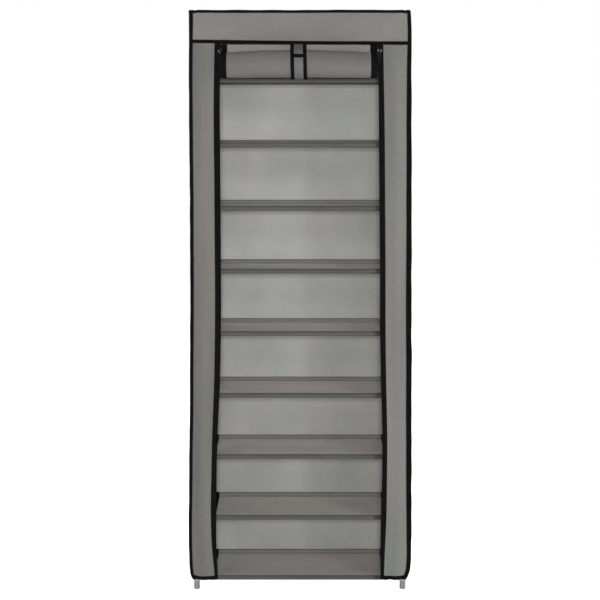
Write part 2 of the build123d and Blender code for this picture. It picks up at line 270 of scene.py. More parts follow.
class Nodes:
    """Builds a material's nodes. Every call returns the new node's output."""

    def __init__(self, name):
        self.material = bpy.data.materials.new(name)
        self.material.use_nodes = True
        self.tree = self.material.node_tree
        self.shader = self.tree.nodes["Principled BSDF"]

    def set(self, node, key, value):
        if isinstance(value, bpy.types.NodeSocket):
            self.tree.links.new(value, node.inputs[key])
        else:
            node.inputs[key].default_value = value

    def add(self, kind, output=0, settings=None, **inputs):
        node = self.tree.nodes.new("ShaderNode" + kind)
        for key, value in (settings or {}).items():
            setattr(node, key, value)
        for key, value in inputs.items():
            self.set(node, key.replace("_", " "), value)
        return node.outputs[output]

    def math(self, operation, a, b=0.0):
        node = self.tree.nodes.new("ShaderNodeMath")
        node.operation = operation
        self.set(node, 0, a)
        self.set(node, 1, b)
        return node.outputs[0]

    def mix(self, factor, a, b):
        node = self.tree.nodes.new("ShaderNodeMix")
        node.data_type = "RGBA"
        self.set(node, 0, factor)
        self.set(node, 6, a)
        self.set(node, 7, b)
        return node.outputs[2]

    def place(self, scale, uv=False):
        """Object coordinates, or the cloth's own, stretched by scale."""
        if uv:
            source = self.add("UVMap", settings={"uv_map": "cloth"})
        else:
            source = self.add("TexCoord", output="Object")
        return self.add("Mapping", Vector=source, Scale=scale)

    def noise(self, scale, detail=2.0, roughness=0.5, uv=False):
        place = self.place(scale, uv)
        return self.add("TexNoise", Vector=place, Scale=1.0, Detail=detail, Roughness=roughness)

    def span(self, value, low, high):
        """A 0 to 1 value stretched from between low and high."""
        return self.add("MapRange", Value=value, From_Min=low, From_Max=high)

    def finish(self, colour, roughness, bump=None, strength=0.3, distance=0.0003, **sockets):
        self.set(self.shader, "Base Color", colour)
        self.set(self.shader, "Roughness", roughness)
        for key, value in sockets.items():
            self.set(self.shader, key.replace("_", " "), value)
        if bump is not None:
            normal = self.add("Bump", Strength=strength, Distance=distance, Height=bump)
            self.set(self.shader, "Normal", normal)
        return self.material


def shade(colour, factor):
    return tuple(c * factor for c in colour) + (1.0,)


def nonwoven(name, warm, cool, contrast=0.10, streaks=(24.0, 24.0, 1.6), drifts=(3.1, 3.1, 2.2), fades=()):
    """Spun-bonded cloth: warm and cool drifts of colour, soft streaks, fibres and a grid of bond points.
    Each fade is painted shade where it darkens and painted light where it brightens: an axis (0 or 2), the
    places along it between which the tone changes, and the tone it ends at; it starts from 1."""
    n = Nodes(name)
    drift = n.span(n.noise(drifts, 3.0), 0.36, 0.64)
    streak = n.span(n.noise(streaks, 2.0), 0.3, 0.7)
    blotch = n.noise((60.0, 60.0, 60.0), 3.0)
    fibre = n.noise((2600.0, 900.0, 1.0), 3.0, uv=True)
    colour = n.mix(drift, shade(warm, 1.0), shade(cool, 1.0))
    level = n.math("ADD", n.math("MULTIPLY", streak, contrast), n.math("MULTIPLY", blotch, contrast * 0.5))
    level = n.math("ADD", level, n.math("MULTIPLY", fibre, contrast * 1.2))
    level = n.math("ADD", level, 1.0 - contrast * 1.35)
    for axis, start, end, tone in fades:
        place = n.add("SeparateXYZ", output=axis, Vector=n.place((1.0, 1.0, 1.0)))
        fade = n.add("MapRange", Value=place, From_Min=start, From_Max=end, To_Min=1.0, To_Max=tone)
        level = n.math("MULTIPLY", level, fade)
    scaled = n.add("VectorMath", settings={"operation": "SCALE"}, Vector=colour, Scale=level)
    flat = n.place((1, 1, 1), True)
    bonds = n.add(
        "TexVoronoi",
        settings={"voronoi_dimensions": "2D"},
        Vector=n.add("Mapping", Vector=flat, Rotation=(0, 0, 0.78), Scale=(800.0, 1100.0, 1)),
        Scale=1.0,
        Randomness=0.12,
    )
    height = n.math("ADD", n.math("MULTIPLY", n.span(bonds, 0.12, 0.42), 0.7), n.math("MULTIPLY", fibre, 0.8))
    rough = n.math("ADD", 0.74, n.math("MULTIPLY", fibre, 0.16))
    return n.finish(scaled, rough, height, 0.35, 0.00012, Specular_IOR_Level=0.2)


def woven_tape(name, dark, light, ribs=900.0):
    """Black tape: fine ribs across, threads along, and paler worn spots."""
    n = Nodes(name)
    weave = n.add(
        "TexWave",
        output=1,
        settings={"wave_type": "BANDS", "bands_direction": "Y"},
        Vector=n.place((1.0, ribs, 1.0), True),
        Scale=1.0,
        Distortion=1.5,
        Detail=1.0,
    )
    thread = n.noise((1800.0, 300.0, 1.0), 2.0, uv=True)
    wear = n.span(n.noise((30.0, 30.0, 30.0), 4.0), 0.45, 0.8)
    level = n.math("ADD", n.math("MULTIPLY", weave, 0.35), n.math("MULTIPLY", thread, 0.5))
    level = n.math("ADD", level, n.math("MULTIPLY", wear, 0.35))
    colour = n.mix(level, shade(dark, 1.0), shade(light, 1.0))
    height = n.math("ADD", n.math("MULTIPLY", weave, 0.6), thread)
    rough = n.math("ADD", 0.72, n.math("MULTIPLY", thread, 0.2))
    return n.finish(colour, rough, height, 0.4, 0.00015, Specular_IOR_Level=0.03)


def painted_tube(name, colour):
    """Powder-coated steel: a faint orange-peel, darker and glossier where it is rubbed."""
    n = Nodes(name)
    peel = n.noise((900.0, 900.0, 900.0), 2.0)
    rub = n.span(n.noise((25.0, 25.0, 25.0), 4.0), 0.4, 0.75)
    tone = n.mix(rub, shade(colour, 1.0), shade(colour, 0.82))
    rough = n.math("SUBTRACT", 0.48, n.math("MULTIPLY", rub, 0.12))
    return n.finish(tone, rough, peel, 0.12, 0.0001, Metallic=0.35)


def moulded(name, colour):
    """Moulded plastic: fine spark-eroded grain and slightly uneven colour."""
    n = Nodes(name)
    grain = n.noise((2200.0, 2200.0, 2200.0), 3.0)
    flow = n.noise((45.0, 45.0, 18.0), 3.0)
    tone = n.mix(flow, shade(colour, 0.9), shade(colour, 1.1))
    rough = n.math("ADD", 0.42, n.math("MULTIPLY", grain, 0.2))
    return n.finish(tone, rough, grain, 0.15, 0.0001)


def lacquered(name, hold, matt):
    """Black lacquer on zip metal, worn through in small spots; the higher hold is, the fewer there are."""
    n = Nodes(name)
    worn = n.span(n.noise((500.0, 500.0, 350.0), 4.0, 0.6), hold, hold + 0.08)
    grain = n.noise((1500.0, 1500.0, 1500.0), 2.0)
    tone = n.mix(worn, (0.006, 0.006, 0.006, 1), (0.45, 0.45, 0.46, 1))
    rough = n.math("ADD", matt, n.math("MULTIPLY", grain, 0.15))
    n.set(n.shader, "Metallic", worn)
    return n.finish(tone, rough, grain, 0.1, 0.00005, Specular_IOR_Level=0.06)


def pile(name, colour):
    """The felt or hooks of a touch fastener."""
    n = Nodes(name)
    loops = n.noise((1500.0, 1500.0, 1500.0), 4.0, 0.7)
    tone = n.mix(loops, shade(colour, 0.6), shade(colour, 1.6))
    return n.finish(tone, 0.95, loops, 0.9, 0.0006, Sheen_Weight=0.3)


UPRIGHT = (15.0, 15.0, 1.3)  # drifts of colour that run up and down the cover
LYING = (6.0, 40.0, 40.0)  # streaks that run along a sleeve

COVER = nonwoven("cover_cloth", (0.120, 0.110, 0.105), (0.098, 0.103, 0.094), 0.24, drifts=UPRIGHT)
# The left flap's cloth is a darker copy of the right one's: painted shade. The right flap's cloth grows paler
# towards its hem: painted light.
FLAP = {
    -1: nonwoven("left_flap_cloth_painted_shade", (0.0995, 0.092, 0.0885), (0.082, 0.0865, 0.080), 0.22, drifts=UPRIGHT),
    1: nonwoven("right_flap_cloth_painted_light", (0.116, 0.106, 0.101), (0.0945, 0.0995, 0.0905), 0.24, drifts=UPRIGHT,
                fades=((2, 0.65, 0.10, 1.22),)),
}
BROW = nonwoven("valance_cloth", (0.118, 0.1115, 0.1055), (0.1115, 0.1085, 0.102), 0.14,
                (9.0, 9.0, 14.0), (4.0, 4.0, 6.0))
# The back's inner face is painted darker right of the middle and towards the hem: painted shade.
BACK = nonwoven("back_cloth", (0.329, 0.324, 0.313), (0.304, 0.313, 0.293), 0.14,
                (9.0, 9.0, 5.0), (7.0, 7.0, 6.0), ((0, 0.0, 0.03, 0.93), (2, 0.80, 0.20, 0.92)))
# The shelf's sheet is painted pale for the light on its top, and darker towards the floor: painted light and
# painted shade.
SHELF = nonwoven("shelf_cloth", (0.515, 0.478, 0.453), (0.488, 0.465, 0.440), 0.12,
                 (3.0, 14.0, 14.0), (5.0, 9.0, 9.0), ((2, 0.52, 0.03, 0.76),))
# The front sleeves are a dark copy of the shelf cloth: painted shade. Their right ends, where the right flap
# shades them, and the top shelf's sleeve under the roll are darker still: painted shadows.
SLEEVE = nonwoven("sleeve_cloth", (0.053, 0.051, 0.048), (0.048, 0.049, 0.046), 0.14,
                  LYING, (6.0, 6.0, 6.0), ((0, 0.203, 0.210, 0.45), (2, 1.38, 1.44, 0.78)))
# The rear sleeves are a darker copy of the shelf cloth too: painted shade.
REAR_SLEEVE = nonwoven("rear_sleeve_cloth_painted_shade", (0.135, 0.130, 0.124), (0.125, 0.127, 0.119), 0.12, LYING)
DOOR_INSIDE = nonwoven("door_cloth", (0.091, 0.0845, 0.0805), (0.0835, 0.0835, 0.0785), 0.12,
                       (5.0, 22.0, 22.0))
# The door cloth's outer face is a paler copy of its inner face: painted light on the strip above the roll.
DOOR_OUTSIDE_PAINTED_LIGHT = nonwoven("door_outer_cloth_painted_light", (0.158, 0.151, 0.146), (0.151, 0.151, 0.144), 0.12,
                        (5.0, 22.0, 22.0))
STRAP = nonwoven("strap_cloth", (0.073, 0.073, 0.071), (0.068, 0.070, 0.068), 0.2, (30.0, 30.0, 30.0))
BINDING = woven_tape("binding_cloth", (0.0012, 0.0012, 0.0011), (0.0040, 0.0040, 0.0038))
ZIP_TAPE = woven_tape("zip_tape", (0.0014, 0.0014, 0.0013), (0.0042, 0.0042, 0.0040), 1500.0)
COIL = woven_tape("zip_coil", (0.0035, 0.0035, 0.0035), (0.012, 0.012, 0.012), 2500.0)
THREAD = woven_tape("grey_thread", (0.07, 0.07, 0.068), (0.14, 0.14, 0.135), 3000.0)
BLACK_THREAD = woven_tape("black_thread", (0.005, 0.005, 0.005), (0.020, 0.020, 0.020), 3000.0)
TUBE = painted_tube("tube_paint", (0.23, 0.235, 0.24))
PLASTIC = moulded("joint_plastic", (0.19, 0.19, 0.188))
FOOT = moulded("foot_plastic", (0.125, 0.125, 0.123))
SLIDER = lacquered("slider_lacquer", 0.57, 0.50)
PULL = lacquered("pull_lacquer", 0.72, 0.80)
PILE = pile("touch_fastener", (0.02, 0.02, 0.021))


# ---------------------------------------------------------------- the cover's outline

# The cover's outline, the width of its edge bindings, and the zip tapes' two edges, for each side, in
# millimetres: (height, distance from the middle), or for the bindings (height, width).
OUTLINE = {
    -1: through([(29, 297.6), (40, 303.4), (57, 306.1), (109, 308.5), (200, 309.0), (314, 307.3),
                 (483, 304.0), (650, 302.0), (915, 299.4), (1467, 298.3), (1573, 296.8), (1592, 296.2),
                 (1597, 294.6), (1600, 291.5)]),
    1: through([(29, 296.0), (35, 300.0), (52, 306.6), (75, 309.5), (143, 310.9), (257, 310.8), (539, 308.9),
                (915, 305.8), (1306, 302.8), (1440, 301.4), (1573, 299.0), (1592, 297.5), (1597, 295.8),
                (1600, 292.5)]),
}
EDGE_BAND = {
    -1: through([(29, 8.8), (300, 9.3), (1600, 9.8)]),
    1: through([(29, 11.5), (220, 14.2), (600, 15.3), (1000, 14.3), (1400, 12.6), (1600, 9.5)]),
}
TAPE_OUTER = {
    -1: through([(30, 237), (52, 238.5), (143, 245.5), (229, 247.0), (314, 245.2), (426, 242.2), (594, 235.4),
                 (733, 232.6), (1090, 231.8), (1386, 231.8), (1493, 229.4), (1520, 228.6)]),
    1: through([(30, 235), (86, 236.6), (200, 241.0), (314, 242.0), (426, 242.0), (594, 238.0), (733, 235.6),
                (899, 234.4), (1090, 232.2), (1279, 229.8), (1453, 226.0), (1520, 224.5)]),
}
TAPE_INNER = {
    -1: through([(30, 228.2), (52, 229.0), (143, 232.4), (229, 231.8), (426, 227.6), (594, 219.4),
                 (733, 216.2), (1090, 215.4), (1386, 215.4), (1520, 213.4)]),
    1: through([(30, 225.7), (60, 225.4), (100, 224.8), (200, 225.4), (314, 228.2), (426, 228.4),
                (594, 223.8), (733, 220.3), (899, 219.4), (1090, 216.5), (1279, 214.2), (1453, 212.4),
                (1520, 211.2)]),
}
JOINT_CLEAR_X = 298.6 * MM
CORNER_TURN = 11 * MM  # how far from a corner the side cloth starts to turn in
TAPE_LAP = 4.5 * MM  # how far the flap's cloth reaches under the zip tape
CROWN_DROP = 6 * MM  # from the top of the cover to the edges of its panels


def seam_x(side, z):
    """Where the front or back cloth meets the side cloth, at the root of the edge binding."""
    return side * (OUTLINE[side](z) - EDGE_BAND[side](z))


def wall_x(side, y, z):
    """Where the side cloth stands: clear of the corner joints, and turned in to the seam at each corner."""
    corner = np.minimum(y - flap_y, back_y - y)
    turn = np.sqrt(1 - (1 - np.clip(corner / CORNER_TURN, 0, 1)) ** 2)
    wall = side * np.maximum(OUTLINE[side](np.minimum(z, top_z - 27 * MM)) - 1.0 * MM, JOINT_CLEAR_X)
    return seam_x(side, z) + (wall - seam_x(side, z)) * turn


def flap_folds(side, across, z):
    """How far a flap stands forward: soft upright folds, deeper towards the hem."""
    loose = 0.35 + 0.65 * ramp(z, 0.75, 0.25)
    fold = hump(across, 0.42, 0.17) * ramp(z, 0.90, 0.40) * (3.4 if side < 0 else 1.6) * MM
    return loose * (1.5 + 0.8 * waves(across, z, 11 + side, 0.55, 0.75)) * MM + fold


def flap_surface(side, x, z):
    """Where the flap's cloth stands, forward of its flat place by its folds."""
    outer = seam_x(side, z)
    inner = side * (TAPE_OUTER[side](z) - TAPE_LAP)
    across = (x - outer) / (inner - outer)
    edge = ramp(across, 0, 0.16) * (1 - 0.7 * ramp(across, 0.8, 1.0))
    under = ramp(z, valance_z + 2 * MM, valance_z - 40 * MM)
    return flap_y - flap_folds(side, across, z) * edge * (0.25 + 0.75 * under) - 0.4 * MM


def make_flap(side):
    """A front flap, from the root of the edge binding to under the zip tape."""
    z = np.linspace(hem_z + 2 * MM, valance_z + 30 * MM, 300)[:, None]
    across = np.linspace(0, 1, 30)[None, :]
    outer = seam_x(side, z)
    x = outer + (side * (TAPE_OUTER[side](z) - TAPE_LAP) - outer) * across
    name = f"{SIDE_NAME[side]}_front_flap"
    points = stack(x, flap_surface(side, x, z), z)
    piece = cloth(f"{name}_cloth", points, FLAP[side], CABINET, COVER_THICKNESS, [name])


def make_valance():
    """The band over the door, a little loose between its bound edges."""
    across = np.linspace(0, 1, 150)[None, :]
    rise = np.linspace(0, 1, 24)[:, None]
    low = valance_hem_z(across) + 3 * MM
    z = low + (top_z - 6.5 * MM - low) * rise
    x = seam_x(-1, z) + (seam_x(1, z) - seam_x(-1, z)) * across
    loose = np.sin(math.pi * rise) ** 0.7 * ramp(across, 0, 0.05) * ramp(across, 1, 0.95)
    ripple = 1.2 + 0.9 * waves(x, z, 5, 0.16, 0.12)
    drape = 2.0 * MM * ramp(rise, 0.5, 0.0) * hump(across, 0.47, 0.35)
    y = valance_y - 0.2 * MM - loose * ripple * MM - drape
    piece = cloth("valance_cloth", stack(x, y, z), BROW, CABINET, COVER_THICKNESS, ["valance"])


def valance_hem_z(across):
    """The valance's lower edge, a little lower on the right."""
    return (1511.8 - 4.8 * across - 1.2 * np.sin(math.pi * across) ** 2) * MM


def make_wall(side):
    """A side of the cover: round the front corner, along the posts, and round the rear corner."""
    z = np.linspace(hem_z, top_z - CROWN_DROP, 240)[:, None]
    along_y = np.linspace(0, 1, 72)[None, :]
    y = flap_y + (back_y - flap_y) * along_y
    corner = np.minimum(along_y, 1 - along_y) * (back_y - flap_y)
    slack = np.sin(math.pi * along_y) * (1.6 + 1.7 * waves(y, z, 21 + side, 0.22, 0.5))
    hold = ramp(corner, 12 * MM, 60 * MM) * ramp(top_z - z, 0, 60 * MM)
    x = wall_x(side, y, z) - side * np.clip(slack, -0.4, 6) * MM * hold
    name = f"cover_{SIDE_NAME[side]}_side"
    piece = cloth(f"{name}_cloth", stack(x, y, z), COVER, CABINET, COVER_THICKNESS, [name])


def make_back():
    """The back of the cover, which bellies out a little. Its inner face is the paler one."""
    z = np.linspace(hem_z, top_z - CROWN_DROP, 240)[:, None]
    across = np.linspace(0, 1, 110)[None, :]
    x = seam_x(-1, z) + (seam_x(1, z) - seam_x(-1, z)) * across
    loose = np.sin(math.pi * across) ** 0.6
    y = back_y + loose * (1.6 + 1.3 * waves(x, z, 31, 0.20, 0.34)) * MM
    points = stack(x, y, z)
    piece = cloth("cover_back_cloth", points, COVER, CABINET, COVER_THICKNESS,
                  ["cover_back"], BACK)


def make_top():
    """The top of the cover, slightly crowned."""
    along_y = np.linspace(0, 1, 50)[:, None]
    across = np.linspace(0, 1, 90)[None, :]
    y = valance_y + (back_y - valance_y) * along_y
    root = top_z - CROWN_DROP
    left = wall_x(-1, np.maximum(y, flap_y), root)
    right = wall_x(1, np.maximum(y, flap_y), root)
    x = left + (right - left) * across
    inside = np.sin(math.pi * along_y) ** 0.5 * np.sin(math.pi * across) ** 0.5
    z = root + inside * (1.4 + 0.7 * waves(x, y, 41, 0.22, 0.16)) * MM
    points = stack(x, y, z)
    piece = cloth("cover_top_cloth", points, BROW, CABINET, COVER_THICKNESS, ["cover_top"])


# ---------------------------------------------------------------- bindings


STITCH_DENT = 0.24  # how far across a binding its stitches run, as a share of its width


def folded_section(width, thick):
    """A tape folded over a seam: flat, with a dent along the stitches and a round outer fold."""
    half = thick / 2
    side = [(0.0, 0.80), (0.14, 0.95), (STITCH_DENT, 0.62), (0.34, 0.97), (0.62, 1.0), (0.86, 0.92),
            (0.97, 0.55)]
    front = [(a * width, b * half) for a, b in side]
    return np.array(front + [(width, 0.0)] + [(a, -b) for a, b in front[::-1]])


def make_binding(name, path, across, width, thick=2.2 * MM, seed=1, body=CABINET, stitched=True, replaces=()):
    """Binding along a seam. across points from the seam to the fold, one direction for each path point."""
    path = np.asarray(path, float)
    across = unit(np.broadcast_to(across, path.shape).astype(float))
    forward = unit(np.gradient(path, axis=0))
    out = unit(np.cross(forward, across))
    distance = np.cumsum(np.linalg.norm(np.gradient(path, axis=0), axis=1))
    width = np.broadcast_to(width, len(path)) * (1 + 0.035 * waves(distance, 0, seed, 0.12, 1.0))
    lean = 0.12 * waves(distance, 0, seed + 50, 0.25, 1.0)[:, None]
    across, out = unit(across + lean * out), unit(out - lean * across)
    section = np.stack([folded_section(w, thick) for w in width])
    sweep(name, path, across, out, section, BINDING, body, replaces)
    if stitched:
        for face in (-1, 1):
            row = path + across * width[:, None] * STITCH_DENT + out * face * (thick * 0.31 + 0.12 * MM)
            label = f"{name}_stitches_{'front' if face > 0 else 'back'}"
            beads(label, row, across, BINDING_STITCH, BLACK_THREAD, body)


def bound_edge(name, path, side, width, thick, body):
    """Binding along a free side edge of a cloth, folded over it."""
    across = np.array([side, 0.0, 0.0])
    out = unit(np.cross(unit(np.gradient(path, axis=0)), across))
    section = folded_section(width, thick)
    return sweep(name, path, across, out, section, BINDING, body)


def make_corner_bindings():
    """On each side: the upright bindings at the front and rear, and those along the top and the hem."""
    z = np.linspace(hem_z - 1 * MM, top_z - 1.5 * MM, 330)
    y = np.linspace(flap_y, back_y, 90)
    for side in (-1, 1):
        name = SIDE_NAME[side]
        wobble = 0.35 * MM * waves(z, 0, 3 + side, 0.3, 1)
        x = seam_x(side, z) + wobble
        width = EDGE_BAND[side](z)
        front = stack(x, np.full_like(z, flap_y - 1.2 * MM) - 0.6 * MM * ramp(z, 0.3, 0.05), z)
        node = ["front_edge_binding"] if side < 0 else []
        make_binding(f"front_{name}_binding", front, (side, -0.05, 0), width, seed=7 + side, replaces=node)
        rear = stack(x, np.full_like(z, back_y + 0.8 * MM), z)
        node = ["rear_edge_binding"] if side < 0 else []
        make_binding(f"rear_{name}_binding", rear, (side, 0.25, 0), 9.5 * MM, seed=17 + side, replaces=node)
        crown = stack(wall_x(side, y, top_z - 7 * MM), y, top_z - 7 * MM)
        make_binding(f"top_{name}_binding", crown, (-side * 0.22, 0, 0.97), 7.0 * MM, 2.4 * MM, 27 + side)
        low = stack(wall_x(side, y[2:-2], hem_z + 6 * MM), y[2:-2], hem_z + 9 * MM)
        low[:, 0] += side * 0.6 * MM * waves(y[2:-2], 0, 4 + side, 0.15, 1)
        make_binding(f"hem_{name}_binding", low, (-side * 0.05, 0, -1), 9.5 * MM, seed=37 + side)


def make_front_and_back_bindings():
    """The bindings over the valance and the back, and those along their hems."""
    across = np.linspace(0, 1, 150)
    x = seam_x(-1, top_z) * (1 - across) + seam_x(1, top_z) * across
    edge = 4.0 * MM * np.where(across < 0.5, -1, 1) * ramp(np.abs(across - 0.5), 0.487, 0.5)
    drop = 8.0 * MM + 1.6 * MM * ramp(np.abs(across - 0.5), 0.487, 0.5)
    brow = stack(x + edge, valance_y - 0.5 * MM, top_z - drop + 0.25 * MM * waves(x, 0, 61, 0.3, 1))
    make_binding("top_front_binding", brow, (0, -0.04, 1), 7.8 * MM, seed=51, replaces=["valance_binding"])
    crest = stack(x + edge, back_y + 0.6 * MM, top_z - drop + 0.3 * MM * waves(x, 0, 62, 0.3, 1))
    make_binding("top_rear_binding", crest, (0, 0.1, 1), 7.8 * MM, seed=52)
    hem = stack(
        seam_x(-1, valance_z) * (1 - across) + seam_x(1, valance_z) * across,
        valance_y - 1.3 * MM - 2.0 * MM * hump(across, 0.47, 0.35),
        valance_hem_z(across) + 9.0 * MM,
    )
    make_binding("valance_hem_binding", hem, (0, -0.02, -1), 9.2 * MM, seed=53)
    low = np.linspace(0, 1, 120)
    back_hem = stack(
        seam_x(-1, hem_z + 0.02) * (1 - low) + seam_x(1, hem_z + 0.02) * low,
        back_y + 0.4 * MM,
        hem_z + 5.5 * MM + 0.6 * MM * waves(low, 0, 63, 0.3, 1),
    )
    make_binding("hem_back_binding", back_hem, (0, 0.03, -1), 9.5 * MM, seed=54, replaces=["hem_binding"])


def make_flap_hem(side):
    """The binding along a flap's lower edge, slightly wavy, from the zip tape to the corner."""
    share = np.linspace(0, 1, 60)
    inner = TAPE_INNER[side](0.04)
    outer = OUTLINE[side](0.045) - 5 * MM
    x = side * (inner + (outer - inner) * share)
    dip = 2.0 if side < 0 else 1.2
    z = hem_z + (10.4 - dip * np.sin(math.pi * share) + 2.2 * ramp(share, 0.75, 1.0)) * MM
    limit = side * (TAPE_OUTER[side](z) - TAPE_LAP)
    on_flap = np.maximum(x, limit) if side > 0 else np.minimum(x, limit)
    y = flap_surface(side, on_flap, z) - 0.3 * MM - 0.9 * MM * ramp(share, 0.3, 0.0)
    width = (11.5 - 2.0 * share) * MM
    make_binding(f"{SIDE_NAME[side]}_flap_hem", stack(x, y, z), (0, -0.03, -1), width, 2.6 * MM, 55 + side)


# ---------------------------------------------------------------- zips


def make_zip_tape(side):
    """A flap's half of the zip: the tape over the flap's edge and the coil along its free edge."""
    name = f"{SIDE_NAME[side]}_zip_tape"
    z = np.linspace(hem_z + 3 * MM, valance_z + 4 * MM, 420)[:, None]
    across = np.linspace(0, 1, 9)[None, :]
    outer, inner = TAPE_OUTER[side](z), TAPE_INNER[side](z)
    x = side * (outer + (inner - outer) * across)
    lift = (0.5 + 0.5 * waves(z, 0, 81 + side, 0.16, 1)) * across * ramp(z, 0.04, 0.20)
    sewn = flap_surface(side, side * (outer - 2 * MM), z)
    y = sewn - (1.2 + lift) * MM
    points = stack(x, y, z)
    tape = cloth(f"{name}_cloth", points, ZIP_TAPE, CABINET, 0.7 * MM, [name])
    edge = points[:, -1] + np.array([side * 1.4 * MM, -0.2 * MM, 0])
    coil = beads(f"{name}_coil", edge, ALONG_X, FLAP_COIL, COIL, CABINET)
    seam = points[:, 2] + np.array([0, -0.45 * MM, 0])
    rows = beads(f"{name}_stitches", seam, ALONG_X, TAPE_STITCH, BLACK_THREAD, CABINET)


# ---------------------------------------------------------------- rolled door


TURNS = 10.2
CORE_R = 8.5 * MM
CREST_X = -4 * MM  # where the roll is fullest, under the strap
STRIP_STEPS = 12  # rows of points on the flat cloth above the roll


def roll_shape(x):
    """The roll's middle and radius at a place along it: fullest under the strap."""
    full = 1 - np.clip(np.abs(x - CREST_X) / roll_half, 0, 1) ** 1.4
    radius = roll_r + (-0.9 + 3.6 * full) * MM
    y = roll_y - 2.6 * MM * full
    z = roll_z + (-0.4 + 4.0 * full) * MM
    return y, z, radius


def door_points(x, steps_turn, lift=0.0):
    """The door's cloth from its seam down to the back of the roll and on round the spiral. x is a row
    of places along the roll; lift moves the sheet off the cloth, outwards."""
    x = np.asarray(x, float)[None, :]
    cy, cz, radius = roll_shape(x)
    flat = np.linspace(0, 1, STRIP_STEPS, endpoint=False)[:, None]
    start_y = np.full_like(x, roll_y + roll_r - 0.4 * MM)
    swing = 0.9 * MM * waves(x, flat, 91, 0.17, 3.0) * np.sin(math.pi * flat)
    strip_y = start_y + (cy + radius + lift - start_y) * flat ** 1.5 - swing
    strip_z = seam_z + (cz - seam_z) * flat
    turn = np.linspace(0, 2 * math.pi * TURNS, int(steps_turn * TURNS))[:, None]
    share = turn / turn[-1]
    dent = waves(x, turn / (2 * math.pi), 92, 0.12, 1.1) * (1 - share) + 0.5 * waves(x, turn, 93, 0.05, 2.6)
    r = radius + (CORE_R - radius) * share + lift + 0.55 * MM * dent * ramp(turn, 0, 1.0)
    round_y = cy + r * np.cos(turn)
    round_z = cz - r * np.sin(turn)
    y = np.vstack((strip_y, round_y))
    z = np.vstack((strip_z, round_z))
    return stack(x, y, z)


def make_door():
    """The rolled door, blended from the seam to the roll, and its two halves of the zips."""
    left, right = -195.2 * MM, 189.8 * MM
    points = door_points(np.linspace(left, right, 64), 44)
    # Its outer face takes the paler copy of the cloth: painted light on the strip above the roll.
    door = cloth("door_roll_cloth", points, DOOR_OUTSIDE_PAINTED_LIGHT, None, 0.6 * MM, ["door_roll"],
                 DOOR_INSIDE)
    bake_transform(door)
    for side, near, far in ((-1, left - 0.3 * MM, -212.4 * MM), (1, right + 0.3 * MM, 208.0 * MM)):
        name = f"{SIDE_NAME[side]}_door_zip_tape"
        tape_points = door_points(np.linspace(near, far, 7), 36, 0.2 * MM)
        tape = cloth(f"{name}_cloth", tape_points, ZIP_TAPE, None, 0.8 * MM, [name])
        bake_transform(tape)
        edge = tape_points[STRIP_STEPS + 2:, -1] - np.array([side * 1.3 * MM, 0, 0])
        beads(f"{name}_coil", edge, ALONG_X, DOOR_COIL, COIL, DOOR)


# ---------------------------------------------------------------- strap


STRAP_LEFT, STRAP_RIGHT = -25.4 * MM, 18.0 * MM
STRAP_BAND = 9.8 * MM


def strap_arc(radius_extra, start, end, count):
    """Points round the middle of the roll, from one angle to another; 0 degrees is straight back."""
    cy, cz, radius = roll_shape(np.array([CREST_X]))
    angle = np.radians(np.linspace(start, end, count))
    r = radius + radius_extra
    return np.stack((cy + r * np.cos(angle), cz + r * np.sin(angle)), axis=1)


def strap_sheet(name, profile, body, shift=(0.0, 0.0)):
    """A strap along a Y-Z profile, and its two bound edges. shift moves its start and end along X."""
    slide = np.linspace(shift[0], shift[1], len(profile))[:, None]
    width = np.linspace(STRAP_LEFT + 2 * MM, STRAP_RIGHT - 2 * MM, 15)[None, :]
    points = stack(width + slide, profile[:, :1], profile[:, 1:])
    sheet = cloth(f"{name}_cloth", points, STRAP, body, 0.9 * MM, [name])
    pieces = [sheet]
    for side, edge in ((-1, STRAP_LEFT), (1, STRAP_RIGHT)):
        path = stack(edge - side * STRAP_BAND + slide[:, 0], profile[:, 0], profile[:, 1])
        label = f"{name}_{SIDE_NAME[side]}_binding"
        pieces.append(bound_edge(label, path, side, STRAP_BAND, 1.9 * MM, body))
    return pieces


def hung_strap(name, start, arc, shift=(0.0, 0.0)):
    """A strap that hangs from the seam: straight to the roll and then round it."""
    fall = start + (arc[0] - start) * np.linspace(0, 1, 9)[:-1, None]
    for piece in strap_sheet(name, np.vstack((fall, arc)), None, shift):
        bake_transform(piece)


def make_straps():
    """The straps before and behind the roll, the closing end between them, and its fastener."""
    over = strap_arc(1.3 * MM, 118, 196, 26)
    hung_strap("strap_upper", np.array([roll_y + roll_r - 3.0 * MM, seam_z + 2 * MM]), over, (0, 0.8 * MM))
    behind = strap_arc(1.4 * MM, 0, -88, 22)
    hung_strap("strap_back", np.array([roll_y + roll_r + 1.4 * MM, seam_z]), behind)
    closing = strap_arc(3.4 * MM, 270, 157, 34)
    strap_sheet("strap_front", closing, STRAP_END, (2.4 * MM, 0.6 * MM))
    tip = strap_arc(3.6 * MM, 159, 147, 8)
    bar = stack(np.linspace(STRAP_LEFT + 1 * MM, STRAP_RIGHT - 1 * MM, 20), tip[0, 0], tip[0, 1])
    up = tip[-1] - tip[0]
    direction = unit(np.array([0.0, up[0], up[1]]))
    make_binding("strap_end_binding", bar, direction, 10.5 * MM, 2.4 * MM, 77, STRAP_END, stitched=False)
    for name, extra, body, start, end in (
        ("strap_loop_patch", 2.2 * MM, DOOR, 148, 188),
        ("strap_hook_patch", 2.7 * MM, STRAP_END, 158, 194),
    ):
        arc = strap_arc(extra, start, end, 16)
        width = np.linspace(-11 * MM, 6 * MM, 8)[None, :]
        patch = cloth(name, stack(width, arc[:, :1], arc[:, 1:]), PILE, body, 0.4 * MM)


# ---------------------------------------------------------------- shelves


